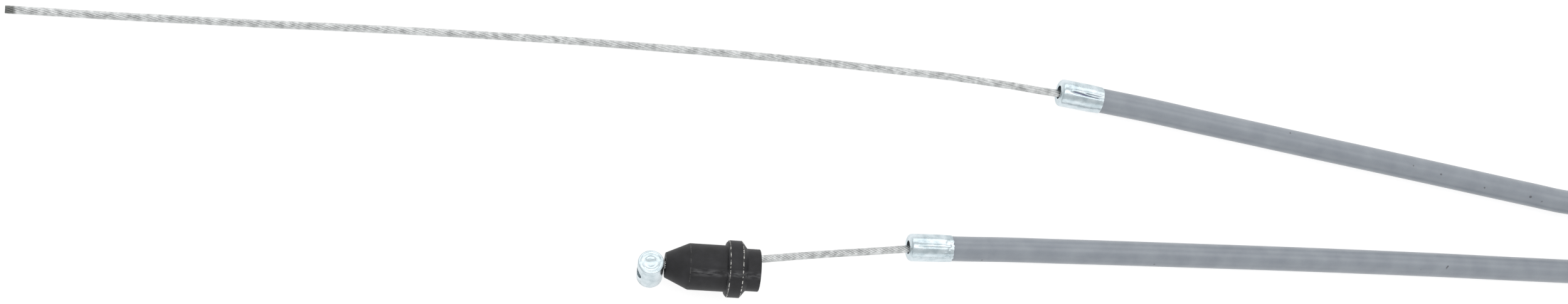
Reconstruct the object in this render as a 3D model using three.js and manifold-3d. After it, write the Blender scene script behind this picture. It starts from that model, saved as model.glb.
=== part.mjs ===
// A gear-shift cable: a plastic-covered housing with a crimped ferrule on each end, and a
// stranded inner wire that ends bare at one end and in a barrel nipple with a loose cap at the other.
// Millimetres, +Z up. The cable lies on z = 0. The origin is under the middle of its end fittings.
import * as THREE from 'three';
import { mergeVertices } from 'three/addons/utils/BufferGeometryUtils.js';
import Module from 'manifold-3d';

const library = await Module();
library.setup();

// Housing and inner wire
const jacketDiameter = 5.0;
const wireDiameter = 1.5;
const faceGap = 0.3;

// Ferrule: a drawn cup, crimped on the jacket, with a hole for the wire in its end
const ferruleLength = 9.0;
const ferruleWall = 0.2;
const crimpClearance = 0.06;
const ferruleEndWall = 0.8;
const ferruleWireHole = 2.7;
const ferruleMouthRadius = 0.8;
const ferruleTaperLength = 2.3;
const ferruleTaperDepth = 0.1;

// Cap: a moulded hollow bell with a collar, threaded loosely on the wire
const capNoseDiameter = 4.9;
const capConeLength = 4.6;
const capBodyDiameter = 9.1;
const capBodyLength = 7.25;
const capCollarDiameter = 11.2;
const capCollarLength = 2.95;
const capCollarChamfer = 0.45;
const capShoulderLength = 1.1;
const capRearDiameter = 8.3;
const capRearLength = 2.6;
const capRearChamfer = 0.15;
const capNoseHole = 2.8;
const capNoseThickness = 1.6;
const capWall = 0.65;

// Barrel nipple: a turned cylinder with the wire through its side, soldered in a counterbore
const nippleDiameter = 5.1;
const nippleLength = 6.8;
const nippleRimChamfer = 0.3;
const nippleWireClearance = 0.12;
const nippleRingDiameter = 3.7;
const nippleRingWidth = 0.3;
const nippleRingDepth = 0.12;
const nippleDimpleDiameter = 2.2;
const nippleDimpleDepth = 0.1;
const counterboreDiameter = 2.3;
const counterboreDepth = 1.5;
const solderClearance = 0.1;
const solderThickness = 0.5;
const solderDome = 0.15;

// Coil of the housing: two turns beside each other, in two layers
const coilMiddleDiameter = 60;
const coilPitch = 5.2;
const coilTurnsAcross = 2;
const coilLayers = 2;
const coilCentre = [203.6, -11.8];

// Places of the fittings on the table: a point on the axis in plan, and headings in degrees
const upperMouth = [38.65, 18.8];
const upperHeading = -10.5;
const lowerMouth = [7.05, -12.3];
const lowerHeading = -2.2;
const capNose = [-42.6, -15.3];
const capHeading = -3.8;
const capPitch = 5.5;
const nippleCentre = [-45.45, -16.1];
const nippleLean = 28;
const nippleLeanHeading = 104.2;

// Facets
const jacketSides = 10;
const wireSides = 8;
const ferruleFacets = 36;
const capFacets = 48;
const nippleFacets = 40;
const holeFacets = 20;
const coilFacets = 60;
const arcSteps = 4;

// Sizes that follow from the ones above
const jacketRadius = jacketDiameter / 2;
const wireRadius = wireDiameter / 2;
const ferruleBoreRadius = jacketRadius + crimpClearance;
const ferruleRadius = ferruleBoreRadius + ferruleWall;
const nippleRadius = nippleDiameter / 2;
const capCollarStart = capConeLength + capBodyLength;
const capShoulderStart = capCollarStart + capCollarLength;
const capRearStart = capShoulderStart + capShoulderLength;
const capLength = capRearStart + capRearLength;

const radians = THREE.MathUtils.degToRad;

// Materials
const finishes = {
    galvanisedWire: { color: '#a9abab', roughness: 0.35, metalness: 1.0 },
    zincPlate: { color: '#c9d4da', roughness: 0.25, metalness: 1.0 },
    solder: { color: '#6f7276', roughness: 0.5, metalness: 1.0 },
    greyJacket: { color: '#92959c', roughness: 0.45, metalness: 0.0 },
    blackMoulding: { color: '#37373a', roughness: 0.6, metalness: 0.0 },
};

function finish(name) {
    return new THREE.MeshStandardMaterial(finishes[name]);
}

function named(name, geometry, finishName) {
    const mesh = new THREE.Mesh(geometry, finish(finishName));
    mesh.name = name;
    return mesh;
}

// A turned body along +X, from pairs of distance along the axis and radius that close on themselves
function turned(profile, facets) {
    const points = profile.map(([along, radius]) => new THREE.Vector2(radius, along));
    points.push(points[0].clone());
    const geometry = new THREE.LatheGeometry(points, facets);
    geometry.rotateZ(-Math.PI / 2);
    return geometry;
}

// A solid turned body along +X, whose profile starts and ends on the axis
function turnedSolid(profile, facets) {
    const points = profile.map(([along, radius]) => new THREE.Vector2(radius, along));
    const geometry = new THREE.LatheGeometry(points, facets);
    geometry.rotateZ(-Math.PI / 2);
    return geometry;
}

// The solid of a closed geometry, for joining and cutting
function solidOf(geometry) {
    const bare = geometry.clone();
    bare.deleteAttribute('normal');
    bare.deleteAttribute('uv');
    const merged = mergeVertices(bare, 1e-4);
    return new library.Manifold(new library.Mesh({
        numProp: 3,
        vertProperties: new Float32Array(merged.attributes.position.array),
        triVerts: new Uint32Array(merged.index.array),
    }));
}

function geometryOf(solid) {
    const mesh = solid.getMesh();
    const geometry = new THREE.BufferGeometry();
    geometry.setAttribute('position', new THREE.BufferAttribute(mesh.vertProperties, 3));
    geometry.setIndex(new THREE.BufferAttribute(mesh.triVerts, 1));
    geometry.computeVertexNormals();
    return geometry;
}

// The frame of a fitting that lies along a heading and rises along its length by a pitch
function lay(mouth, height, heading, pitch = 0) {
    const frame = new THREE.Object3D();
    frame.position.set(mouth[0], mouth[1], height);
    frame.rotation.set(0, -radians(pitch), radians(heading), 'ZYX');
    frame.updateMatrixWorld();
    return frame;
}

function place(mesh, frame) {
    mesh.position.copy(frame.position);
    mesh.quaternion.copy(frame.quaternion);
    return mesh;
}

// A point given along a fitting's axis and across it
function inFrame(frame, along, across = 0) {
    return new THREE.Vector3(along, across, 0).applyMatrix4(frame.matrixWorld);
}

function ferruleProfile() {
    const profile = [[0, ferruleWireHole / 2]];
    for (let i = 0; i <= arcSteps; i += 1) {
        const turn = (i / arcSteps) * Math.PI / 2;
        const along = ferruleMouthRadius * (1 - Math.cos(turn));
        profile.push([along, ferruleRadius - ferruleMouthRadius * (1 - Math.sin(turn))]);
    }
    profile.push([ferruleLength - ferruleTaperLength, ferruleRadius]);
    profile.push([ferruleLength, ferruleRadius - ferruleTaperDepth]);
    profile.push([ferruleLength, ferruleBoreRadius]);
    profile.push([ferruleEndWall, ferruleBoreRadius]);
    profile.push([ferruleEndWall, ferruleWireHole / 2]);
    return profile;
}

function ferrule(name, frame) {
    return place(named(name, turned(ferruleProfile(), ferruleFacets), 'zincPlate'), frame);
}

function cap(frame) {
    const noseRadius = capNoseDiameter / 2;
    const bodyRadius = capBodyDiameter / 2;
    const collarRadius = capCollarDiameter / 2;
    const rearRadius = capRearDiameter / 2;
    const cavityRadius = rearRadius - capWall;
    const coneSlope = (bodyRadius - noseRadius) / capConeLength;
    const innerNoseRadius = noseRadius + coneSlope * capNoseThickness - capWall;
    const profile = [
        [0, capNoseHole / 2],
        [0, noseRadius],
        [capConeLength, bodyRadius],
        [capCollarStart, bodyRadius],
        [capCollarStart, collarRadius - capCollarChamfer],
        [capCollarStart + capCollarChamfer, collarRadius],
        [capShoulderStart, collarRadius],
        [capRearStart, rearRadius],
        [capLength - capRearChamfer, rearRadius],
        [capLength, rearRadius - capRearChamfer],
        [capLength, cavityRadius],
        [capConeLength, cavityRadius],
        [capNoseThickness, innerNoseRadius],
        [capNoseThickness, capNoseHole / 2],
    ];
    return place(named('loose_cap', turned(profile, capFacets), 'blackMoulding'), frame);
}

// The cap lies on its collar's front edge, nose down
function capHeight() {
    const restsAt = capCollarStart + capCollarChamfer;
    const pitch = radians(capPitch);
    return capCollarDiameter / 2 * Math.cos(pitch) - restsAt * Math.sin(pitch);
}

// The frame of the nipple: X along the wire towards the housing, Z along the barrel's own axis
function nippleFrame() {
    const lean = radians(nippleLean);
    const heading = radians(nippleLeanHeading);
    const axis = new THREE.Vector3(
        Math.sin(lean) * Math.cos(heading),
        Math.sin(lean) * Math.sin(heading),
        Math.cos(lean),
    );
    const towardsCap = new THREE.Vector3(
        capNose[0] - nippleCentre[0],
        capNose[1] - nippleCentre[1],
        0,
    );
    const across = new THREE.Vector3().crossVectors(axis, towardsCap).normalize();
    const along = new THREE.Vector3().crossVectors(across, axis);
    const frame = new THREE.Object3D();
    frame.quaternion.setFromRotationMatrix(new THREE.Matrix4().makeBasis(along, across, axis));
    const rimHeight = nippleLength / 2 * Math.cos(lean) + (nippleRadius - nippleRimChamfer) * Math.sin(lean);
    frame.position.set(nippleCentre[0], nippleCentre[1], rimHeight);
    frame.updateMatrixWorld();
    return frame;
}

function nippleEnd(sign) {
    const end = sign * nippleLength / 2;
    const inward = -sign;
    const ringInner = (nippleRingDiameter - nippleRingWidth) / 2;
    const ringOuter = (nippleRingDiameter + nippleRingWidth) / 2;
    return [
        [end + inward * nippleDimpleDepth, 0],
        [end + inward * nippleDimpleDepth, nippleDimpleDiameter / 2],
        [end, nippleDimpleDiameter / 2],
        [end, ringInner],
        [end + inward * nippleRingDepth, ringInner],
        [end + inward * nippleRingDepth, ringOuter],
        [end, ringOuter],
        [end, nippleRadius - nippleRimChamfer],
        [end + inward * nippleRimChamfer, nippleRadius],
    ];
}

function rod(from, to, radius) {
    return turnedSolid([[from, 0], [from, radius], [to, radius], [to, 0]], holeFacets);
}

function nipple(frame) {
    const profile = [...nippleEnd(-1), ...nippleEnd(1).reverse()];
    const barrel = turnedSolid(profile, nippleFacets);
    barrel.rotateY(-Math.PI / 2);
    const wireHole = rod(-nippleRadius, nippleDiameter, wireRadius + nippleWireClearance);
    const counterbore = rod(-nippleDiameter, counterboreDepth - nippleRadius, counterboreDiameter / 2);
    const cut = solidOf(barrel).subtract(solidOf(wireHole)).subtract(solidOf(counterbore));
    return place(named('barrel_nipple', geometryOf(cut), 'zincPlate'), frame);
}

function solderPlug(frame) {
    const radius = counterboreDiameter / 2 - solderClearance;
    const inner = counterboreDepth - nippleRadius - solderClearance;
    const outer = inner - solderThickness;
    const profile = [[outer - solderDome, 0]];
    profile.push([outer - solderDome * 0.75, radius / 2]);
    profile.push([outer, radius]);
    profile.push([inner, radius]);
    profile.push([inner, 0]);
    return place(named('solder_plug', turnedSolid(profile, holeFacets), 'solder'), frame);
}

// A cord along a smooth curve through its points
function cord(name, points, diameter, sides, steps, finishName) {
    const section = new THREE.Shape();
    for (let i = 0; i < sides; i += 1) {
        const turn = (i / sides) * 2 * Math.PI;
        const x = diameter / 2 * Math.cos(turn);
        const y = diameter / 2 * Math.sin(turn);
        if (i === 0) {
            section.moveTo(x, y);
        } else {
            section.lineTo(x, y);
        }
    }
    section.closePath();
    const path = new THREE.CatmullRomCurve3(points, false, 'centripetal');
    const geometry = new THREE.ExtrudeGeometry(section, { steps, extrudePath: path });
    return named(name, geometry, finishName);
}

function points(list) {
    return list.map(([x, y, z]) => new THREE.Vector3(x, y, z));
}

// The bare end of the inner wire, out of the upper ferrule and along the table
function wireTail(frame) {
    const route = [
        inFrame(frame, ferruleEndWall, -0.3),
        inFrame(frame, -0.5, -0.3),
        ...points([
            [34.5, 19.1, 2.7],
            [29.8, 19.9, 2.4],
            [22.1, 21.0, 1.85],
            [14.4, 22.0, 1.3],
            [6.6, 22.8, 0.95],
            [-1.2, 23.6, 0.8],
            [-8.9, 24.4, 0.76],
            [-16.6, 25.1, 0.76],
            [-31.8, 26.3, 0.76],
            [-46.9, 27.4, 0.76],
            [-61.7, 28.4, 0.76],
            [-76.4, 29.2, 0.76],
            [-90.9, 29.9, 0.76],
            [-105.2, 30.5, 0.76],
            [-119.4, 31.0, 0.76],
            [-133.3, 31.6, 0.76],
            [-147.1, 32.2, 0.76],
            [-160.8, 32.9, 0.76],
            [-166.6, 33.2, 0.76],
        ]),
    ];
    return cord('inner_wire_tail', route, wireDiameter, wireSides, 42, 'galvanisedWire');
}

// The short end of the inner wire, from the nipple through the cap and into the lower ferrule
function wireNippleEnd(nippleAt, ferruleAt) {
    const wireEnd = counterboreDepth - nippleRadius + faceGap;
    const route = [
        inFrame(nippleAt, wireEnd),
        inFrame(nippleAt, 1),
        inFrame(nippleAt, nippleRadius),
        ...points([
            [-40.9, -15.1, 4.12],
            [-38.0, -14.9, 4.3],
            [-32.7, -14.75, 4.6],
            [-28.0, -14.55, 4.8],
            [-23.1, -14.3, 4.85],
            [-17.4, -13.9, 4.65],
            [-9.6, -13.45, 4.05],
            [-1.8, -13.1, 3.3],
            [4.0, -12.8, 2.95],
        ]),
        inFrame(ferruleAt, 0, -0.35),
        inFrame(ferruleAt, ferruleEndWall, -0.3),
    ];
    return cord('inner_wire_nipple_end', route, wireDiameter, wireSides, 18, 'galvanisedWire');
}

// The housing's straight start, held in its ferrule
function heldStart(frame) {
    return [
        inFrame(frame, ferruleEndWall + faceGap),
        inFrame(frame, ferruleLength / 2),
        inFrame(frame, ferruleLength * 0.8),
        inFrame(frame, ferruleLength + jacketRadius),
    ];
}

function housingUpperRun(frame) {
    const route = [
        ...heldStart(frame),
        ...points([
            [59.0, 15.0, 2.6],
            [67.4, 13.25, 2.5],
            [81.1, 10.45, 2.5],
            [95.0, 7.6, 2.5],
            [109.1, 4.75, 2.5],
            [123.3, 1.85, 2.5],
            [137.6, -1.1, 2.5],
            [144.0, -2.4, 2.5],
            [150.4, -3.75, 3.05],
            [154.65, -4.25, 3.7],
            [159.15, -4.0, 4.6],
            [163.6, -3.0, 5.6],
            [168.0, -1.1, 6.5],
        ]),
    ];
    return cord('housing_upper_run', route, jacketDiameter, jacketSides, 16, 'greyJacket');
}

function housingLowerRun(frame) {
    const route = [
        ...heldStart(frame),
        ...points([
            [27.0, -12.95, 2.55],
            [37.7, -13.35, 2.5],
            [53.8, -13.95, 2.5],
            [67.4, -14.5, 2.5],
            [81.1, -15.05, 2.5],
            [95.0, -15.65, 2.5],
            [109.1, -16.3, 2.5],
            [123.3, -17.0, 2.5],
            [137.6, -17.8, 2.5],
            [147.0, -18.3, 2.5],
            [156.0, -18.85, 2.5],
            [160.15, -19.4, 2.5],
            [164.25, -20.6, 2.5],
            [167.9, -22.35, 2.5],
        ]),
    ];
    return cord('housing_lower_run', route, jacketDiameter, jacketSides, 18, 'greyJacket');
}

// The outer shape of the coiled length of the housing
function housingCoil() {
    const middle = coilMiddleDiameter / 2;
    const reach = (coilTurnsAcross - 1) / 2 * coilPitch + jacketRadius;
    const height = (coilLayers - 1) * coilPitch + jacketDiameter;
    const edge = jacketRadius / 2;
    const outer = middle + reach;
    const inner = middle - reach;
    const profile = [
        [0, inner + edge],
        [0, outer - edge],
        [edge, outer],
        [height - edge, outer],
        [height, outer - edge],
        [height, inner + edge],
        [height - edge, inner],
        [edge, inner],
    ];
    const geometry = turned(profile, coilFacets);
    geometry.rotateY(-Math.PI / 2);
    const mesh = named('housing_coil', geometry, 'greyJacket');
    mesh.position.set(coilCentre[0], coilCentre[1], 0);
    return mesh;
}

const upperFrame = lay(upperMouth, ferruleRadius, upperHeading);
const lowerFrame = lay(lowerMouth, ferruleRadius, lowerHeading);
const capFrame = lay(capNose, capHeight(), capHeading, capPitch);
const nippleAt = nippleFrame();

const cable = new THREE.Group();
cable.name = 'shift_cable';
cable.add(
    wireTail(upperFrame),
    ferrule('upper_ferrule', upperFrame),
    housingUpperRun(upperFrame),
    housingCoil(),
    housingLowerRun(lowerFrame),
    ferrule('lower_ferrule', lowerFrame),
    wireNippleEnd(nippleAt, lowerFrame),
    cap(capFrame),
    nipple(nippleAt),
    solderPlug(nippleAt),
);

export default cable;
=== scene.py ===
"""Looks of the gear-shift cable: grey housing, crimped ferrules, stranded wire, nipple and cap."""

import math

import bmesh
import bpy
from mathutils import Matrix, Vector, kdtree, noise


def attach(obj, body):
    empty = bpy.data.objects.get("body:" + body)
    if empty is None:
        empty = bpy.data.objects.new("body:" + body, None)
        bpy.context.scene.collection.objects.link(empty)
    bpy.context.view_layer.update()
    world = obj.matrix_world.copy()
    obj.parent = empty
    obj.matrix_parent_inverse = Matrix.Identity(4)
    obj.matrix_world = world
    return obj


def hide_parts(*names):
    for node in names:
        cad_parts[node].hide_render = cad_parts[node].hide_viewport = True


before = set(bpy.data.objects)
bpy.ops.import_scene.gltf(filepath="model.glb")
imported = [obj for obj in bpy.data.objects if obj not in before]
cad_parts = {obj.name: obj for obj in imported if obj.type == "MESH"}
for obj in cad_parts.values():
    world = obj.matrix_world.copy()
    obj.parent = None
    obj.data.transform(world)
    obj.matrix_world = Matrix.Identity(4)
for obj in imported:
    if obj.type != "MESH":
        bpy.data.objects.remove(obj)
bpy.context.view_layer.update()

MM = 0.001
BODY = "root"

# Sizes of the model, in millimetres, as its source has them
JACKET_RADIUS = 2.5
WIRE_RADIUS = 0.75
FERRULE_LENGTH = 9.0
FERRULE_BORE = 2.56
FERRULE_RADIUS = 2.76
FERRULE_END_WALL = 0.8
FERRULE_HOLE = 1.35
FERRULE_MOUTH_ROUND = 0.8
FERRULE_TAPER = 2.3
FERRULE_TAPER_DEPTH = 0.1
FACE_GAP = 0.3

UPPER_MOUTH = (38.65, 18.8)
UPPER_HEADING = -10.5
LOWER_MOUTH = (7.05, -12.3)
LOWER_HEADING = -2.2

CAP_NOSE = (-42.6, -15.3)
CAP_HEADING = -3.8
CAP_PITCH = 5.5
CAP_LENGTH = 18.5
CAP_CONE = 4.6
CAP_COLLAR_START = 11.85
CAP_COLLAR_END = 14.8
CAP_COLLAR_CHAMFER = 0.45
CAP_REAR_START = 15.9
CAP_NOSE_RADIUS = 2.45
CAP_BODY_RADIUS = 4.55
CAP_COLLAR_RADIUS = 5.6
CAP_REAR_RADIUS = 4.15
CAP_CAVITY_RADIUS = 3.5
CAP_HOLE_RADIUS = 1.4
CAP_NOSE_WALL = 1.6
CAP_INNER_NOSE_RADIUS = 2.5

NIPPLE_CENTRE = (-45.45, -16.1)
NIPPLE_LEAN = 28.0
NIPPLE_LEAN_HEADING = 104.2
NIPPLE_RADIUS = 2.55
NIPPLE_LENGTH = 6.8
NIPPLE_RIM = 0.3
COUNTERBORE_RADIUS = 1.15
COUNTERBORE_DEPTH = 1.5
WIRE_HOLE_RADIUS = 0.87

COIL_CENTRE = (203.6, -11.8)
COIL_MIDDLE = 30.0
COIL_PITCH = 5.2
COIL_ENTRY = 145.1
COIL_STEP = 12.0
COIL_BULGE = 2.4
COIL_SWING_SWEEP = 180.0
COIL_DROP_SWEEP = 76.0

# The photograph's camera: metres and degrees
CAMERA_TARGET = Vector((-0.0177, 0.0067, 0.0))
CAMERA_DISTANCE = 0.56
CAMERA_LEAN = 13.5
CAMERA_LENS = 64.86

# How fine the meshes are: facets round a turned piece and a cut hole, steps round a quarter of a
# cord, and the distance within which doubled points are merged, in metres
FERRULE_FACETS = 180
CAP_FACETS = 128
NIPPLE_FACETS = 96
HOLE_FACETS = 48
HOUSING_QUARTER = 14
WIRE_QUARTER = 3
MERGE_WITHIN = 1e-7


def hex_colour(code):
    """An sRGB hex colour as linear red, green, blue and alpha."""
    channels = []
    for start in (0, 2, 4):
        value = int(code[start:start + 2], 16) / 255
        channels.append(value / 12.92 if value <= 0.04045 else ((value + 0.055) / 1.055) ** 2.4)
    return (*channels, 1.0)


def make_camera():
    """The camera stands above the cable and to its left, with +Y up in the picture."""
    lean = math.radians(CAMERA_LEAN)
    right = Vector((math.cos(lean), 0, math.sin(lean)))
    back = Vector((-math.sin(lean), 0, math.cos(lean)))
    data = bpy.data.cameras.new("camera")
    data.lens = CAMERA_LENS
    data.sensor_width = 36
    data.clip_start = 0.01
    camera = bpy.data.objects.new("camera", data)
    turn = Matrix((right, (0, 1, 0), back)).transposed().to_4x4()
    camera.matrix_world = Matrix.Translation(CAMERA_TARGET + back * CAMERA_DISTANCE) @ turn
    bpy.context.scene.collection.objects.link(camera)
    bpy.context.scene.camera = camera


make_camera()
bpy.context.scene.view_settings.view_transform = "Standard"


# Frames of the fittings, in millimetres
def lay(mouth, height, heading, pitch=0.0):
    """The frame of a fitting that lies along a heading, mouth at its origin and X along its axis."""
    turn = Matrix.Rotation(math.radians(heading), 4, "Z")
    rise = Matrix.Rotation(-math.radians(pitch), 4, "Y")
    return Matrix.Translation((mouth[0], mouth[1], height)) @ turn @ rise


def cap_height():
    """The height of the cap's nose when the cap lies on its collar's front edge."""
    rests_at = CAP_COLLAR_START + CAP_COLLAR_CHAMFER
    pitch = math.radians(CAP_PITCH)
    return CAP_COLLAR_RADIUS * math.cos(pitch) - rests_at * math.sin(pitch)


def nipple_frame():
    """The frame of the nipple: X along the wire towards the cap, Z along the barrel."""
    lean = math.radians(NIPPLE_LEAN)
    heading = math.radians(NIPPLE_LEAN_HEADING)
    axis = Vector((math.sin(lean) * math.cos(heading), math.sin(lean) * math.sin(heading), math.cos(lean)))
    towards = Vector((CAP_NOSE[0] - NIPPLE_CENTRE[0], CAP_NOSE[1] - NIPPLE_CENTRE[1], 0))
    across = axis.cross(towards).normalized()
    along = across.cross(axis)
    height = NIPPLE_LENGTH / 2 * math.cos(lean) + (NIPPLE_RADIUS - NIPPLE_RIM) * math.sin(lean)
    turn = Matrix((along, across, axis)).transposed().to_4x4()
    return Matrix.Translation((NIPPLE_CENTRE[0], NIPPLE_CENTRE[1], height)) @ turn


UPPER = lay(UPPER_MOUTH, FERRULE_RADIUS, UPPER_HEADING)
LOWER = lay(LOWER_MOUTH, FERRULE_RADIUS, LOWER_HEADING)
CAP = lay(CAP_NOSE, cap_height(), CAP_HEADING, CAP_PITCH)
NIPPLE = nipple_frame()


def on(fitting, along, across=0.0):
    """A point along a fitting's axis and across it, in millimetres."""
    return fitting @ Vector((along, across, 0))


# Routes of the cords, in millimetres, as the model has them
TAIL_ROUTE = [
    on(UPPER, FERRULE_END_WALL, -0.3),
    on(UPPER, -0.5, -0.3),
    (34.5, 19.1, 2.7),
    (29.8, 19.9, 2.4),
    (22.1, 21.0, 1.85),
    (14.4, 22.0, 1.3),
    (6.6, 22.8, 0.95),
    (-1.2, 23.6, 0.8),
    (-8.9, 24.4, 0.76),
    (-16.6, 25.1, 0.76),
    (-31.8, 26.3, 0.76),
    (-46.9, 27.4, 0.76),
    (-61.7, 28.4, 0.76),
    (-76.4, 29.2, 0.76),
    (-90.9, 29.9, 0.76),
    (-105.2, 30.5, 0.76),
    (-119.4, 31.0, 0.76),
    (-133.3, 31.6, 0.76),
    (-147.1, 32.2, 0.76),
    (-160.8, 32.9, 0.76),
    (-166.6, 33.2, 0.76),
]

NIPPLE_ROUTE = [
    on(NIPPLE, COUNTERBORE_DEPTH - NIPPLE_RADIUS + FACE_GAP),
    on(NIPPLE, 1.0),
    on(NIPPLE, NIPPLE_RADIUS),
    (-40.9, -15.1, 4.12),
    (-38.0, -14.9, 4.3),
    (-32.7, -14.75, 4.6),
    (-28.0, -14.55, 4.8),
    (-23.1, -14.3, 4.85),
    (-17.4, -13.9, 4.65),
    (-9.6, -13.45, 4.05),
    (-1.8, -13.1, 3.3),
    (4.0, -12.8, 2.95),
    on(LOWER, 0, -0.35),
    on(LOWER, FERRULE_END_WALL, -0.3),
]


def held_start(fitting):
    """The housing's straight start, held in its ferrule."""
    return [
        on(fitting, FERRULE_END_WALL + FACE_GAP),
        on(fitting, FERRULE_LENGTH / 2),
        on(fitting, FERRULE_LENGTH * 0.8),
        on(fitting, FERRULE_LENGTH + JACKET_RADIUS),
    ]


UPPER_ROUTE = [
    *held_start(UPPER),
    (59.0, 15.0, 2.6),
    (67.4, 13.25, 2.5),
    (81.1, 10.45, 2.5),
    (95.0, 7.6, 2.5),
    (109.1, 4.75, 2.5),
    (123.3, 1.85, 2.5),
    (137.6, -1.1, 2.5),
    (144.0, -2.4, 2.5),
    (150.4, -3.75, 3.05),
    (154.65, -4.25, 3.7),
    (159.15, -4.0, 4.6),
    (163.6, -3.0, 5.6),
    (168.0, -1.1, 6.5),
    (172.9, 2.35, 7.4),
]

LOWER_ROUTE = [
    *held_start(LOWER),
    (27.0, -12.95, 2.55),
    (37.7, -13.35, 2.5),
    (53.8, -13.95, 2.5),
    (67.4, -14.5, 2.5),
    (81.1, -15.05, 2.5),
    (95.0, -15.65, 2.5),
    (109.1, -16.3, 2.5),
    (123.3, -17.0, 2.5),
    (137.6, -17.8, 2.5),
    (147.0, -18.3, 2.5),
    (156.0, -18.85, 2.5),
    (160.15, -19.4, 2.5),
    (164.25, -20.6, 2.5),
    (167.9, -22.35, 2.5),
    (172.85, -25.9, 2.5),
]


def eased(share):
    """A smooth step from 0 to 1 while a share goes from -0.5 to 0.5."""
    share = min(max(share, -0.5), 0.5)
    return (1 + math.sin(math.pi * share)) / 2


def coil_route():
    """The coiled length: clockwise turns, two beside each other in each of two layers.

    Turns move inwards, down and outwards on the near side, where the runs come in, and the one
    that goes down swings inwards to clear the others."""
    outer = COIL_MIDDLE + COIL_PITCH / 2
    upper = JACKET_RADIUS + COIL_PITCH
    move_sweep = 360 - 2 * COIL_ENTRY
    moves_in = 360 - move_sweep / 2
    moves_down = moves_in + 360
    moves_out = moves_down + 360
    sweep = 3 * 360 + 2 * COIL_ENTRY
    steps = round(sweep / COIL_STEP)
    route = []
    for step in range(steps + 1):
        swept = sweep * step / steps
        inwards = eased((swept - moves_in) / move_sweep) - eased((swept - moves_out) / move_sweep)
        down = eased((swept - moves_down) / COIL_DROP_SWEEP)
        swing = (swept - moves_down) / COIL_SWING_SWEEP
        bulge = COIL_BULGE * math.cos(math.pi * swing) ** 2 if abs(swing) < 0.5 else 0.0
        radius = outer - COIL_PITCH * inwards - bulge
        angle = math.radians(COIL_ENTRY - swept)
        route.append((
            COIL_CENTRE[0] + radius * math.cos(angle),
            COIL_CENTRE[1] + radius * math.sin(angle),
            upper - COIL_PITCH * down,
        ))
    return route


def smooth(route, spacing):
    """Points at an even spacing on a smooth curve through a route, all in metres."""
    knots = [Vector(point) * MM for point in route]
    knots = [2 * knots[0] - knots[1], *knots, 2 * knots[-1] - knots[-2]]
    fine = []
    for a, b, c, d in zip(knots, knots[1:], knots[2:], knots[3:]):
        t1 = (b - a).length ** 0.5
        t2 = t1 + (c - b).length ** 0.5
        t3 = t2 + (d - c).length ** 0.5
        pieces = 16
        for i in range(pieces):
            t = t1 + (t2 - t1) * i / pieces
            ab = a.lerp(b, t / t1)
            bc = b.lerp(c, (t - t1) / (t2 - t1))
            cd = c.lerp(d, (t - t2) / (t3 - t2))
            fine.append(ab.lerp(bc, t / t2).lerp(bc.lerp(cd, (t - t1) / (t3 - t1)), (t - t1) / (t2 - t1)))
    fine.append(knots[-2])
    lengths = [0.0]
    for before, after in zip(fine, fine[1:]):
        lengths.append(lengths[-1] + (after - before).length)
    count = max(2, round(lengths[-1] / spacing))
    even = []
    at = 0
    for i in range(count + 1):
        want = lengths[-1] * i / count
        while at < len(fine) - 2 and lengths[at + 1] < want:
            at += 1
        share = (want - lengths[at]) / (lengths[at + 1] - lengths[at])
        even.append(fine[at].lerp(fine[at + 1], min(share, 1.0)))
    return even, lengths[-1]


# Meshes
def mesh_of(bm, name):
    """A mesh made from a bmesh, which is let go."""
    mesh = bpy.data.meshes.new(name)
    bm.to_mesh(mesh)
    bm.free()
    return mesh


def shade(mesh, crisp_from):
    """Smooth shading, with edges that turn by so many degrees or more left crisp."""
    for face in mesh.polygons:
        face.use_smooth = True
    mesh.set_sharp_from_angle(angle=math.radians(crisp_from))


def seat(bm, fitting):
    """Moves a shape from a fitting's own frame to where the fitting lies."""
    move = fitting.copy()
    move.translation *= MM
    bmesh.ops.transform(bm, matrix=move, verts=bm.verts)


def add_object(name, mesh):
    """A new object that rides on the cable's one body."""
    thing = bpy.data.objects.new(name, mesh)
    bpy.context.scene.collection.objects.link(thing)
    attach(thing, BODY)
    return thing


def tubes(name, lines, resolution):
    """A mesh of round tubes with closed ends, from pairs of a radius and a line of points.

    Its attribute to_end is the distance along the cord to its last point."""
    thickest = max(radius for radius, line in lines)
    curve = bpy.data.curves.new(name, "CURVE")
    curve.dimensions = "3D"
    curve.twist_mode = "Z_UP"
    curve.bevel_depth = thickest
    curve.bevel_resolution = resolution
    curve.use_fill_caps = True
    for radius, line in lines:
        spline = curve.splines.new("POLY")
        spline.points.add(len(line) - 1)
        for point, place in zip(spline.points, line):
            point.co = (*place, 1)
            point.radius = radius / thickest
    carrier = bpy.data.objects.new(name, curve)
    bpy.context.scene.collection.objects.link(carrier)
    bpy.context.view_layer.update()
    mesh = bpy.data.meshes.new_from_object(carrier.evaluated_get(bpy.context.evaluated_depsgraph_get()))
    bpy.data.objects.remove(carrier)
    bpy.data.curves.remove(curve)
    mesh.name = name
    bm = bmesh.new()
    bm.from_mesh(mesh)
    bmesh.ops.remove_doubles(bm, verts=bm.verts, dist=MERGE_WITHIN)
    bm.to_mesh(mesh)
    bm.free()
    shade(mesh, 40)

    middle = lines[-1][1]
    step = (middle[1] - middle[0]).length
    nearby = kdtree.KDTree(len(middle))
    for index, place in enumerate(middle):
        nearby.insert(place, index)
    nearby.balance()
    to_end = mesh.attributes.new("to_end", "FLOAT", "POINT")
    for vertex, item in zip(mesh.vertices, to_end.data):
        place, index, away = nearby.find(vertex.co)
        ahead = (middle[min(index + 1, len(middle) - 1)] - middle[max(index - 1, 0)]).normalized()
        item.value = (len(middle) - 1 - index) * step - (vertex.co - place).dot(ahead)
    return mesh


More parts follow.
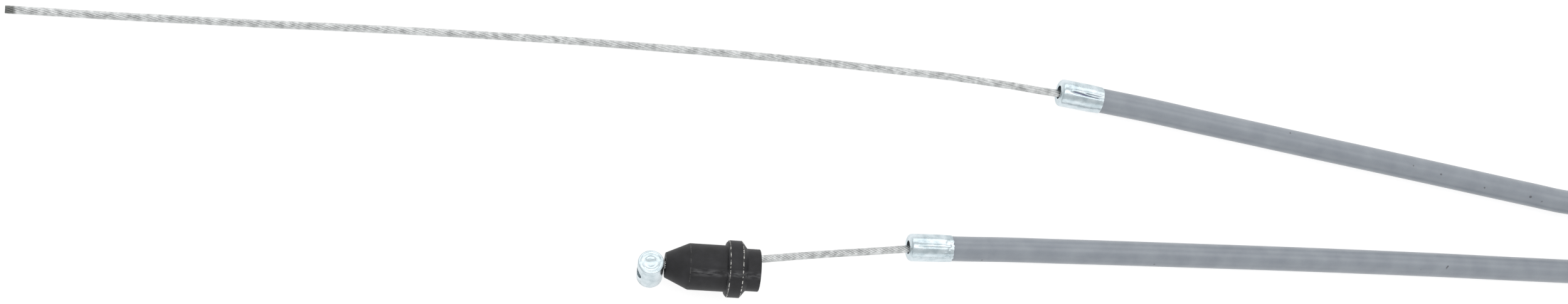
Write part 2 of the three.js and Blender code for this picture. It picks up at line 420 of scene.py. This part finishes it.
def helix(line, turn_offset, radius, lay_length):
    """A left-hand helix round a line that is never upright."""
    points = []
    along = 0.0
    for i, place in enumerate(line):
        before = line[max(i - 1, 0)]
        after = line[min(i + 1, len(line) - 1)]
        tangent = (after - before).normalized()
        side = Vector((0, 0, 1)).cross(tangent).normalized()
        over = tangent.cross(side)
        if i:
            along += (place - before).length
        angle = turn_offset - 2 * math.pi * along / lay_length
        points.append(place + radius * (math.cos(angle) * side + math.sin(angle) * over))
    return points


# The strand: its outer wires lie on a circle round a core, one turn in each lay
STRAND_WIRES = 12
STRAND_WIRE_RADIUS = 0.155 * MM
STRAND_CIRCLE = WIRE_RADIUS * MM - STRAND_WIRE_RADIUS
STRAND_CORE_RADIUS = STRAND_CIRCLE
STRAND_LAY = 12.3 * MM
STRAND_SPACING = 0.7 * MM
HOUSING_SPACING = 1.5 * MM


def strand(name, route):
    """The inner wire: twelve wires laid round a core."""
    line, length = smooth(route, STRAND_SPACING)
    lines = []
    for k in range(STRAND_WIRES):
        wire = helix(line, 2 * math.pi * k / STRAND_WIRES, STRAND_CIRCLE, STRAND_LAY)
        lines.append((STRAND_WIRE_RADIUS, wire))
    lines.append((STRAND_CORE_RADIUS, line))
    return tubes(name, lines, WIRE_QUARTER), line, length


def make_cords():
    """The housing and the two bare stretches of the inner wire, each a mesh riding on the cable's one body.
    """
    route = [*UPPER_ROUTE, *coil_route(), *reversed(LOWER_ROUTE)]
    line, length = smooth(route, HOUSING_SPACING)
    housing = add_object("housing", tubes("housing", [(JACKET_RADIUS * MM, line)], HOUSING_QUARTER))
    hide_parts("housing_upper_run", "housing_coil", "housing_lower_run")

    tail_mesh, line, length = strand("wire_tail", TAIL_ROUTE)
    tail = add_object("wire_tail", tail_mesh)
    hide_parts("inner_wire_tail")

    short_mesh, line, length = strand("wire_nipple_end", [*reversed(NIPPLE_ROUTE)])
    short = add_object("wire_nipple_end", short_mesh)
    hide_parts("inner_wire_nipple_end")
    return housing, tail, short


housing, tail, short = make_cords()


def rounded(outline):
    """A closed outline of (along, radius, corner round) with its corners as short arcs."""
    points = []
    count = len(outline)
    for i, (along, radius, fillet) in enumerate(outline):
        here = Vector((along, radius))
        if fillet == 0:
            points.append(here)
            continue
        before = Vector(outline[i - 1][:2]) - here
        after = Vector(outline[(i + 1) % count][:2]) - here
        corner = before.angle(after)
        reach = fillet / math.tan(corner / 2)
        start = here + before.normalized() * reach
        end = here + after.normalized() * reach
        steps = max(3, round(math.degrees(math.pi - corner) / 15))
        inwards = (before.normalized() + after.normalized()).normalized()
        middle = here + inwards * fillet / math.sin(corner / 2)
        first = start - middle
        last = end - middle
        for step in range(steps + 1):
            turn = first.angle_signed(last) * step / steps
            points.append(middle + Matrix.Rotation(-turn, 2) @ first)
    return points


def turned(outline, facets):
    """A ring-shaped body turned about X from a closed outline, in metres."""
    bm = bmesh.new()
    ring = [bm.verts.new((along * MM, 0, radius * MM)) for along, radius in outline]
    edges = [bm.edges.new((ring[i - 1], ring[i])) for i in range(len(ring))]
    bmesh.ops.spin(bm, geom=ring + edges, cent=(0, 0, 0), axis=(1, 0, 0), angle=2 * math.pi,
                   steps=facets, use_merge=True)
    bmesh.ops.remove_doubles(bm, verts=bm.verts, dist=MERGE_WITHIN)
    bmesh.ops.recalc_face_normals(bm, faces=bm.faces)
    return bm


def finished(name, bm, fitting):
    """A turned body, laid where its fitting is.

    Its attribute own is each point's place in the fitting's own frame, in millimetres."""
    own = bm.verts.layers.float_vector.new("own")
    for vertex in bm.verts:
        vertex[own] = vertex.co / MM
    seat(bm, fitting)
    mesh = mesh_of(bm, name)
    shade(mesh, 50)
    return add_object(name, mesh)


# How the crimping tool marks a ferrule, in millimetres: wall left under the deepest mark, eases at
# a crease's start and end, depth of the unevenness, how far the ragged rim reaches in, how close
# its teeth are, as a plain number, degrees round the ferrule to a millimetre, and how closely
# points lie along it
CRIMPED_WALL = 0.03
CREASE_START_EASE = 0.22
CREASE_END_EASE = 0.3
UNEVENNESS = 0.012
RAGGED_REACH = 0.9
RAGGED_TEETH = 8
DEGREES_A_MM = 22
DENT_SPACING = 0.2


def ferrule_outline():
    """The drawn cup, with enough points along it to be dented."""
    straight_end = FERRULE_LENGTH - FERRULE_TAPER
    corners = rounded([
        (0, FERRULE_HOLE, 0.1),
        (0, FERRULE_RADIUS, FERRULE_MOUTH_ROUND),
        (straight_end, FERRULE_RADIUS, 0),
        (FERRULE_LENGTH, FERRULE_RADIUS - FERRULE_TAPER_DEPTH, 0.06),
        (FERRULE_LENGTH, FERRULE_BORE, 0),
        (FERRULE_END_WALL, FERRULE_BORE, 0),
        (FERRULE_END_WALL, FERRULE_HOLE, 0),
    ])
    outline = []
    for i, point in enumerate(corners):
        after = corners[(i + 1) % len(corners)]
        outline.append(point)
        span = (after - point).length
        if min(point.y, after.y) > FERRULE_BORE + FERRULE_TAPER_DEPTH and span > 2 * DENT_SPACING:
            pieces = round(span / DENT_SPACING)
            outline.extend(point.lerp(after, k / pieces) for k in range(1, pieces))
    return outline


def bump(value, centre, width):
    """A smooth hill of height 1 over a centre, about a width wide."""
    return math.exp(-((value - centre) / width) ** 2)


def pinch(along, degrees, creases):
    """How deep the crimping tool pressed the ferrule at a place, in millimetres."""
    depth = 0.0
    for centre, twist, width, strength, start, end in creases:
        across = (degrees - centre - twist * (along - start) + 180) % 360 - 180
        rise = 1 / (1 + math.exp(-(along - start) / CREASE_START_EASE))
        fall = 1 / (1 + math.exp((along - end) / CREASE_END_EASE))
        depth += strength * bump(across, 0, width) * rise * fall
    return depth


def ferrule(name, node, fitting, creases, dents, ragged, seed):
    """A zinc-plated ferrule, dented by its crimping tool, its rear rim ragged by some millimetres.

    Its attribute crease is how deep each point was pressed, against the deepest there may be."""
    bm = turned(ferrule_outline(), FERRULE_FACETS)
    crease = bm.verts.layers.float.new("crease")
    deepest = FERRULE_RADIUS - FERRULE_BORE - CRIMPED_WALL
    for vertex in bm.verts:
        along = vertex.co.x / MM
        radius = math.hypot(vertex.co.y, vertex.co.z) / MM
        turn = math.atan2(vertex.co.z, vertex.co.y)
        if along > FERRULE_LENGTH - RAGGED_REACH:
            share = 1 - (FERRULE_LENGTH - along) / RAGGED_REACH
            around = Vector((math.cos(turn), math.sin(turn), 0)) * RAGGED_TEETH
            tooth = noise.noise(around + Vector((0, 0, seed)))
            vertex.co.x -= ragged * share * (0.5 + tooth) * MM
        if radius < FERRULE_BORE + CRIMPED_WALL:
            continue
        degrees = math.degrees(turn)
        depth = pinch(along, degrees, creases)
        vertex[crease] = min(depth / deepest, 1.0)
        for at, side, size, strength in dents:
            away = (degrees - side + 180) % 360 - 180
            depth += strength * bump(along, at, size) * bump(away, 0, size * DEGREES_A_MM)
        rough = noise.noise(Vector((along * 0.9, vertex.co.y / MM, vertex.co.z / MM + seed)))
        depth += UNEVENNESS * rough
        depth = min(depth, deepest)
        scale = (radius - depth) / radius
        vertex.co.y *= scale
        vertex.co.z *= scale
    piece = finished(name, bm, fitting)
    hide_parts(node)
    return piece


# Creases: angle round the axis, twist in degrees a millimetre, half width in degrees, depth,
# start and end along the ferrule. Dents: place along it, angle, size and depth.
UPPER_CREASES = [
    (80, 1.8, 5.5, 0.17, 2.0, 5.2),
    (86, 0.9, 2.6, 0.17, 4.6, 9.4),
    (77, 0.6, 2.2, 0.15, 4.8, 8.6),
]
UPPER_DENTS = [
    (8.3, 150, 0.6, 0.07),
    (8.2, 30, 0.8, 0.05),
    (8.4, 250, 0.8, 0.07),
    (1.9, 62, 0.5, 0.05),
    (4.4, 118, 0.45, 0.04),
]
LOWER_CREASES = [
    (84, 0.2, 2.4, 0.08, 1.3, 9.4),
    (62, 0.0, 10, 0.05, 1.5, 7.8),
]
LOWER_DENTS = [
    (7.5, 125, 0.3, 0.12),
    (7.9, 92, 0.25, 0.15),
    (7.2, 108, 0.22, 0.1),
    (8.3, 104, 0.3, 0.14),
    (7.6, 65, 0.4, 0.1),
    (8.4, 48, 0.8, 0.16),
    (8.5, 76, 0.25, 0.15),
    (8.6, 130, 0.4, 0.16),
    (8.1, 150, 0.5, 0.1),
    (5.0, 20, 0.5, 0.06),
    (1.7, 138, 0.35, 0.06),
    (4.8, 140, 0.3, 0.05),
]

upper_ferrule = ferrule("crimped_upper_ferrule", "upper_ferrule", UPPER, UPPER_CREASES, UPPER_DENTS,
                        0.06, 3.0)
lower_ferrule = ferrule("crimped_lower_ferrule", "lower_ferrule", LOWER, LOWER_CREASES, LOWER_DENTS,
                        0.26, 9.0)


def make_cap():
    """The moulded cap: a hollow bell with a cone, a collar and a straight rear rim."""
    outline = rounded([
        (0, CAP_HOLE_RADIUS, 0.1),
        (0, CAP_NOSE_RADIUS, 0.18),
        (CAP_CONE, CAP_BODY_RADIUS, 0.9),
        (CAP_COLLAR_START - 0.1, CAP_BODY_RADIUS, 0.12),
        (CAP_COLLAR_START + 0.05, CAP_COLLAR_RADIUS - CAP_COLLAR_CHAMFER, 0.1),
        (CAP_COLLAR_START + CAP_COLLAR_CHAMFER, CAP_COLLAR_RADIUS, 0.12),
        (CAP_COLLAR_END, CAP_COLLAR_RADIUS, 0.14),
        (CAP_REAR_START, CAP_REAR_RADIUS, 0.4),
        (CAP_LENGTH, CAP_REAR_RADIUS, 0.15),
        (CAP_LENGTH, CAP_CAVITY_RADIUS, 0.12),
        (CAP_CONE, CAP_CAVITY_RADIUS, 0.3),
        (CAP_NOSE_WALL, CAP_INNER_NOSE_RADIUS, 0),
        (CAP_NOSE_WALL, CAP_HOLE_RADIUS, 0),
    ])
    piece = finished("cap", turned(outline, CAP_FACETS), CAP)
    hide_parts("loose_cap")
    return piece


cap = make_cap()


def cutter(from_along, to_along, radius, fitting):
    """A round rod along the nipple's wire, to cut with."""
    bm = bmesh.new()
    depth = abs(to_along - from_along) * MM
    bmesh.ops.create_cone(bm, cap_ends=True, segments=HOLE_FACETS, radius1=radius * MM,
                          radius2=radius * MM, depth=depth)
    turn = Matrix.Rotation(math.pi / 2, 4, "Y")
    shift = Matrix.Translation(((from_along + to_along) / 2 * MM, 0, 0))
    bmesh.ops.transform(bm, matrix=shift @ turn, verts=bm.verts)
    seat(bm, fitting)
    thing = bpy.data.objects.new("cutter", mesh_of(bm, "cutter"))
    bpy.context.scene.collection.objects.link(thing)
    return thing


def make_nipple():
    """The turned barrel, with its wire hole and counterbore cut through the side."""
    half = NIPPLE_LENGTH / 2
    # Radius and step of the end face, with its two rings, and of its rounded rim
    end = [(0.0, -0.06), (0.95, -0.06), (1.05, 0.0), (1.68, 0.0), (1.76, -0.05), (1.94, -0.05), (2.02, 0.0)]
    rim = [(NIPPLE_RADIUS - NIPPLE_RIM, 0.0), (NIPPLE_RADIUS - 0.16, -0.03), (NIPPLE_RADIUS - 0.05, -0.13),
           (NIPPLE_RADIUS, -NIPPLE_RIM)]
    profile = [(radius, half + step) for radius, step in end + rim]
    profile += [(radius, -along) for radius, along in reversed(profile)]
    bm = bmesh.new()
    verts = [bm.verts.new((radius * MM, 0, along * MM)) for radius, along in profile]
    edges = [bm.edges.new((a, b)) for a, b in zip(verts, verts[1:])]
    bmesh.ops.spin(bm, geom=verts + edges, cent=(0, 0, 0), axis=(0, 0, 1), angle=2 * math.pi,
                   steps=NIPPLE_FACETS, use_merge=True)
    bmesh.ops.remove_doubles(bm, verts=bm.verts, dist=MERGE_WITHIN)
    bmesh.ops.recalc_face_normals(bm, faces=bm.faces)
    piece = finished("nipple", bm, NIPPLE)
    for tool in (
        cutter(-NIPPLE_RADIUS, 2 * NIPPLE_RADIUS, WIRE_HOLE_RADIUS, NIPPLE),
        cutter(-2 * NIPPLE_RADIUS, COUNTERBORE_DEPTH - NIPPLE_RADIUS, COUNTERBORE_RADIUS, NIPPLE),
    ):
        cut = piece.modifiers.new("cut", "BOOLEAN")
        cut.operation = "DIFFERENCE"
        cut.object = tool
        cut.solver = "EXACT"
        bpy.context.view_layer.update()
        shaped = bpy.data.meshes.new_from_object(piece.evaluated_get(bpy.context.evaluated_depsgraph_get()))
        piece.modifiers.clear()
        piece.data = shaped
        bpy.data.objects.remove(tool)
    shade(piece.data, 35)
    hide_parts("barrel_nipple")
    return piece


nipple = make_nipple()


# Sizes of the finishes, in millimetres: spacing of the sheath's ribs, length of the strand's burnt
# tip and of its edge, and where the cap's painted sheen lies across it and how softly it starts
RIB_SPACING = 0.9
BURNT_TIP = 2.1
BURNT_EDGE = 0.7
CAP_PAINTED_SHEEN = -0.9
CAP_PAINTED_SHEEN_EASE = 0.8

# The cap's rubbed edges: place along it, half width and strength
CAP_WORN_EDGES = [
    (CAP_COLLAR_START + 0.42, 0.11, 0.75),
    (CAP_COLLAR_END, 0.13, 0.95),
    (CAP_CONE, 0.12, 0.07),
]


# Materials
def new_material(name):
    """A material with an empty node tree and its output."""
    material = bpy.data.materials.new(name)
    material.use_nodes = True
    material.node_tree.nodes.clear()
    return material


MIX_SOCKETS = {"A": 6, "B": 7}


def node(material, kind, inputs=None, stops=None, **settings):
    """Adds one shader node with its settings, colour stops, and linked or set inputs."""
    made = material.node_tree.nodes.new("ShaderNode" + kind)
    for name, value in settings.items():
        setattr(made, name, value)
    for name, value in (inputs or {}).items():
        socket = made.inputs[MIX_SOCKETS.get(name, name)] if kind == "Mix" else made.inputs[name]
        if isinstance(value, bpy.types.NodeSocket):
            material.node_tree.links.new(value, socket)
        else:
            socket.default_value = value
    if stops:
        elements = made.color_ramp.elements
        while len(elements) < len(stops):
            elements.new(1.0)
        for element, (position, colour) in zip(elements, stops):
            element.position = position
            element.color = colour
    return made


def grey(value):
    """A grey for a colour ramp, from 0 to 1, linear."""
    return (value, value, value, 1.0)


def extruded_grey_pvc():
    """Extruded soft PVC sheath: satin, faintly mottled, with faint cross ribs from the wound
    conduit under it and a few dark specks."""
    material = new_material("extruded_grey_pvc")
    place = node(material, "TexCoord")
    mottle = node(material, "TexNoise", {"Vector": place.outputs["Object"], "Scale": 260.0, "Detail": 4.0})
    colour = node(material, "ValToRGB", {"Fac": mottle.outputs["Fac"]},
                  [(0.3, hex_colour("80868E")), (0.7, hex_colour("8C9299"))])
    speck = node(material, "TexNoise", {"Vector": place.outputs["Object"], "Scale": 900.0, "Detail": 0.0})
    specked = node(material, "MapRange", {"Value": speck.outputs["Fac"], "From Min": 0.84, "From Max": 0.88})
    spotted = node(material, "Mix", {0: specked.outputs["Result"], "A": colour.outputs["Color"],
                   "B": hex_colour("5C5E64")}, data_type="RGBA")
    to_end = node(material, "Attribute", attribute_name="to_end")
    rib = node(material, "TexNoise", {
        "W": to_end.outputs["Fac"], "Scale": 1 / (RIB_SPACING * MM), "Detail": 2.0}, noise_dimensions="1D")
    grain = node(material, "TexNoise", {"Vector": place.outputs["Object"], "Scale": 1600.0, "Detail": 2.0})
    ribbed = node(material, "Bump", {"Height": rib.outputs["Fac"], "Strength": 0.35, "Distance": 0.00004})
    relief = node(material, "Bump", {"Height": grain.outputs["Fac"], "Strength": 0.12, "Distance": 0.00004,
                  "Normal": ribbed.outputs["Normal"]})
    shader = node(material, "BsdfPrincipled", {
        "Base Color": spotted.outputs[2], "Roughness": 0.3, "Normal": relief.outputs["Normal"]})
    node(material, "OutputMaterial", {"Surface": shader.outputs["BSDF"]})
    return material


def bright_galvanised_wire():
    """Drawn steel wire, galvanised: bright and finely streaked, and burnt dark at its cut tip."""
    material = new_material("bright_galvanised_wire")
    place = node(material, "TexCoord")
    streak = node(material, "TexNoise", {"Vector": place.outputs["Object"], "Scale": 900.0, "Detail": 3.0})
    colour = node(material, "ValToRGB", {"Fac": streak.outputs["Fac"]},
                  [(0.3, hex_colour("A8AAAA")), (0.7, hex_colour("DADCDC"))])
    to_end = node(material, "Attribute", attribute_name="to_end")
    burnt = node(material, "MapRange", {"Value": to_end.outputs["Fac"], "From Min": BURNT_TIP * MM,
                 "From Max": (BURNT_TIP - BURNT_EDGE) * MM})
    tipped = node(material, "Mix", {0: burnt.outputs["Result"], "A": colour.outputs["Color"],
                  "B": hex_colour("757775")}, data_type="RGBA")
    shader = node(material, "BsdfPrincipled", {
        "Base Color": tipped.outputs[2], "Metallic": 1.0, "Roughness": 0.34})
    node(material, "OutputMaterial", {"Surface": shader.outputs["BSDF"]})
    return material


def blue_white_zinc_plate():
    """Steel, zinc plated and blue passivated: bright, faintly blue, softly clouded, with rub marks
    along its length and painted shade that darkens the creases to a purple grey."""
    material = new_material("blue_white_zinc_plate")
    own = node(material, "Attribute", attribute_name="own")
    cloud = node(material, "TexNoise", {"Vector": own.outputs["Vector"], "Scale": 0.5, "Detail": 3.0})
    colour = node(material, "ValToRGB", {"Fac": cloud.outputs["Fac"]},
                  [(0.3, hex_colour("B1BFC5")), (0.5, hex_colour("C8D4D9")), (0.7, hex_colour("DAE3E8"))])
    # Painted shade: the deeper a crease was pressed, the darker and more purple grey it is painted
    crease = node(material, "Attribute", attribute_name="crease")
    crease_shade = node(material, "MapRange", {"Value": crease.outputs["Fac"], "From Min": 0.45, "From Max": 0.9})
    crease_shaded = node(material, "Mix", {0: crease_shade.outputs["Result"], "A": colour.outputs["Color"],
                  "B": hex_colour("666B80")}, data_type="RGBA")
    rough = node(material, "MapRange", {"Value": cloud.outputs["Fac"], "To Min": 0.2, "To Max": 0.34})
    lengthwise = node(material, "Mapping", {"Vector": own.outputs["Vector"], "Scale": (0.4, 3.5, 3.5)})
    rubbed = node(material, "TexNoise", {
        "Vector": lengthwise.outputs["Vector"], "Scale": 1.0, "Detail": 3.0})
    clouds = node(material, "Bump", {"Height": cloud.outputs["Fac"], "Strength": 0.5, "Distance": 0.0002})
    relief = node(material, "Bump", {"Height": rubbed.outputs["Fac"], "Strength": 0.15, "Distance": 0.00006,
                  "Normal": clouds.outputs["Normal"]})
    shader = node(material, "BsdfPrincipled", {
        "Base Color": crease_shaded.outputs[2], "Metallic": 1.0, "Roughness": rough.outputs["Result"],
        "Normal": relief.outputs["Normal"]})
    node(material, "OutputMaterial", {"Surface": shader.outputs["BSDF"]})
    return material


def worn_black_moulding():
    """Moulded black plastic, matte: rubbed white in chips along the collar's edges, with a painted
    sheen, a soft paler streak along the side that lies uppermost, broken into patches."""
    material = new_material("worn_black_moulding")
    own = node(material, "Attribute", attribute_name="own")
    axes = node(material, "SeparateXYZ", {"Vector": own.outputs["Vector"]})
    bloom = node(material, "TexNoise", {"Vector": own.outputs["Vector"], "Scale": 0.5, "Detail": 6.0})
    colour = node(material, "ValToRGB", {"Fac": bloom.outputs["Fac"]},
                  [(0.35, hex_colour("1D1D1F")), (0.75, hex_colour("2A2A2D"))])

    chipped = node(material, "TexNoise", {"Vector": own.outputs["Vector"], "Scale": 1.9, "Detail": 5.0})
    gaps = node(material, "MapRange", {"Value": chipped.outputs["Fac"], "From Min": 0.46, "From Max": 0.62})
    surface = colour.outputs["Color"]
    for edge, width, strength in CAP_WORN_EDGES:
        away = node(material, "Math", {0: axes.outputs["X"], 1: edge}, operation="SUBTRACT")
        size = node(material, "Math", {0: away.outputs["Value"]}, operation="ABSOLUTE")
        line = node(material, "MapRange", {"Value": size.outputs["Value"], "From Min": width / 3,
                    "From Max": width, "To Min": strength, "To Max": 0.0})
        worn = node(material, "Math", {0: line.outputs["Result"], 1: gaps.outputs["Result"]},
                    operation="MULTIPLY")
        painted = node(material, "Mix", {0: worn.outputs["Value"], "A": surface, "B": hex_colour("DEDDD8")},
                       data_type="RGBA")
        surface = painted.outputs[2]
    # Painted sheen: a soft paler streak on the uppermost side, behind the cone, broken into patches
    away = node(material, "Math", {0: axes.outputs["Y"], 1: CAP_PAINTED_SHEEN}, operation="SUBTRACT")
    size = node(material, "Math", {0: away.outputs["Value"]}, operation="ABSOLUTE")
    stripe = node(material, "MapRange", {"Value": size.outputs["Value"], "From Min": 0.2, "From Max": 0.95,
                  "To Min": 1.0, "To Max": 0.0})
    top = node(material, "MapRange", {"Value": axes.outputs["Z"], "From Min": 2.0, "From Max": 3.0})
    behind = node(material, "MapRange", {"Value": axes.outputs["X"], "From Min": CAP_CONE,
                  "From Max": CAP_CONE + CAP_PAINTED_SHEEN_EASE})
    lengthwise = node(material, "Mapping", {"Vector": own.outputs["Vector"], "Scale": (0.6, 2.2, 2.2)})
    rubbed = node(material, "TexNoise", {
        "Vector": lengthwise.outputs["Vector"], "Scale": 1.0, "Detail": 4.0})
    patches = node(material, "MapRange", {"Value": rubbed.outputs["Fac"], "From Min": 0.4, "From Max": 0.8})
    above = node(material, "Math", {0: behind.outputs["Result"], 1: top.outputs["Result"]},
                 operation="MULTIPLY")
    striped = node(material, "Math", {0: stripe.outputs["Result"], 1: above.outputs["Value"]},
                   operation="MULTIPLY")
    painted_sheen = node(material, "Math", {0: striped.outputs["Value"], 1: patches.outputs["Result"]},
                   operation="MULTIPLY")
    final = node(material, "Mix", {0: painted_sheen.outputs["Value"], "A": surface, "B": hex_colour("606062")},
                 data_type="RGBA")
    relief = node(material, "Bump", {"Height": bloom.outputs["Fac"], "Strength": 0.3, "Distance": 0.0002})
    shader = node(material, "BsdfPrincipled", {
        "Base Color": final.outputs[2], "Roughness": 0.55, "Specular IOR Level": 0.3,
        "Normal": relief.outputs["Normal"]})
    node(material, "OutputMaterial", {"Surface": shader.outputs["BSDF"]})
    return material


def dull_solder():
    """Soft solder, dull grey."""
    material = new_material("dull_solder")
    place = node(material, "TexCoord")
    cloud = node(material, "TexNoise", {"Vector": place.outputs["Object"], "Scale": 900.0, "Detail": 3.0})
    colour = node(material, "ValToRGB", {"Fac": cloud.outputs["Fac"]},
                  [(0.3, hex_colour("54585C")), (0.7, hex_colour("7A7E82"))])
    shader = node(material, "BsdfPrincipled", {
        "Base Color": colour.outputs["Color"], "Metallic": 1.0, "Roughness": 0.5})
    node(material, "OutputMaterial", {"Surface": shader.outputs["BSDF"]})
    return material


def dress(thing, material):
    """Gives a piece one material."""
    thing.data.materials.clear()
    thing.data.materials.append(material)


ZINC = blue_white_zinc_plate()
WIRE = bright_galvanised_wire()
dress(housing, extruded_grey_pvc())
dress(tail, WIRE)
dress(short, WIRE)
dress(upper_ferrule, ZINC)
dress(lower_ferrule, ZINC)
dress(nipple, ZINC)
dress(cap, worn_black_moulding())
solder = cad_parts["solder_plug"]
for part_slot in solder.material_slots:
    part_slot.material = dull_solder()


# Floor and light
def make_floor():
    """A plain white floor, a hair below the cable."""
    bm = bmesh.new()
    bmesh.ops.create_grid(bm, x_segments=1, y_segments=1, size=3)
    bmesh.ops.translate(bm, vec=(0, 0, -0.00005), verts=bm.verts)
    floor = bpy.data.objects.new("floor", mesh_of(bm, "floor"))
    bpy.context.scene.collection.objects.link(floor)
    material = new_material("white_paper")
    shader = node(material, "BsdfPrincipled", {
        "Base Color": hex_colour("939393"), "Roughness": 1.0, "Specular IOR Level": 0.0,
        "Emission Color": hex_colour("FFFFFF"), "Emission Strength": 0.8})
    node(material, "OutputMaterial", {"Surface": shader.outputs["BSDF"]})
    dress(floor, material)


def softbox(name, place, aim, size, power):
    """A large rectangular light that faces a point."""
    data = bpy.data.lights.new(name, "AREA")
    data.shape = "RECTANGLE"
    data.size, data.size_y = size
    data.energy = power
    light = bpy.data.objects.new(name, data)
    direction = Vector(aim) - Vector(place)
    light.location = place
    light.rotation_mode = "QUATERNION"
    light.rotation_quaternion = direction.to_track_quat("-Z", "Y")
    bpy.context.scene.collection.objects.link(light)


def make_light():
    """Soft light from above, from behind and, weaker, from the front, under a pale sky."""
    world = bpy.data.worlds.new("studio")
    world.use_nodes = True
    background = world.node_tree.nodes["Background"]
    background.inputs["Color"].default_value = grey(1.0)
    background.inputs["Strength"].default_value = 0.78
    bpy.context.scene.world = world
    softbox("key", (0.0, 0.25, 0.95), (0, 0, 0), (1.4, 0.5), 3.0)
    softbox("back", (0, 0.9, 0.45), (0, 0, 0), (1.6, 0.5), 2.6)
    softbox("front", (0, -0.85, 0.4), (0, 0, 0), (1.6, 0.5), 1.3)


make_floor()
make_light()
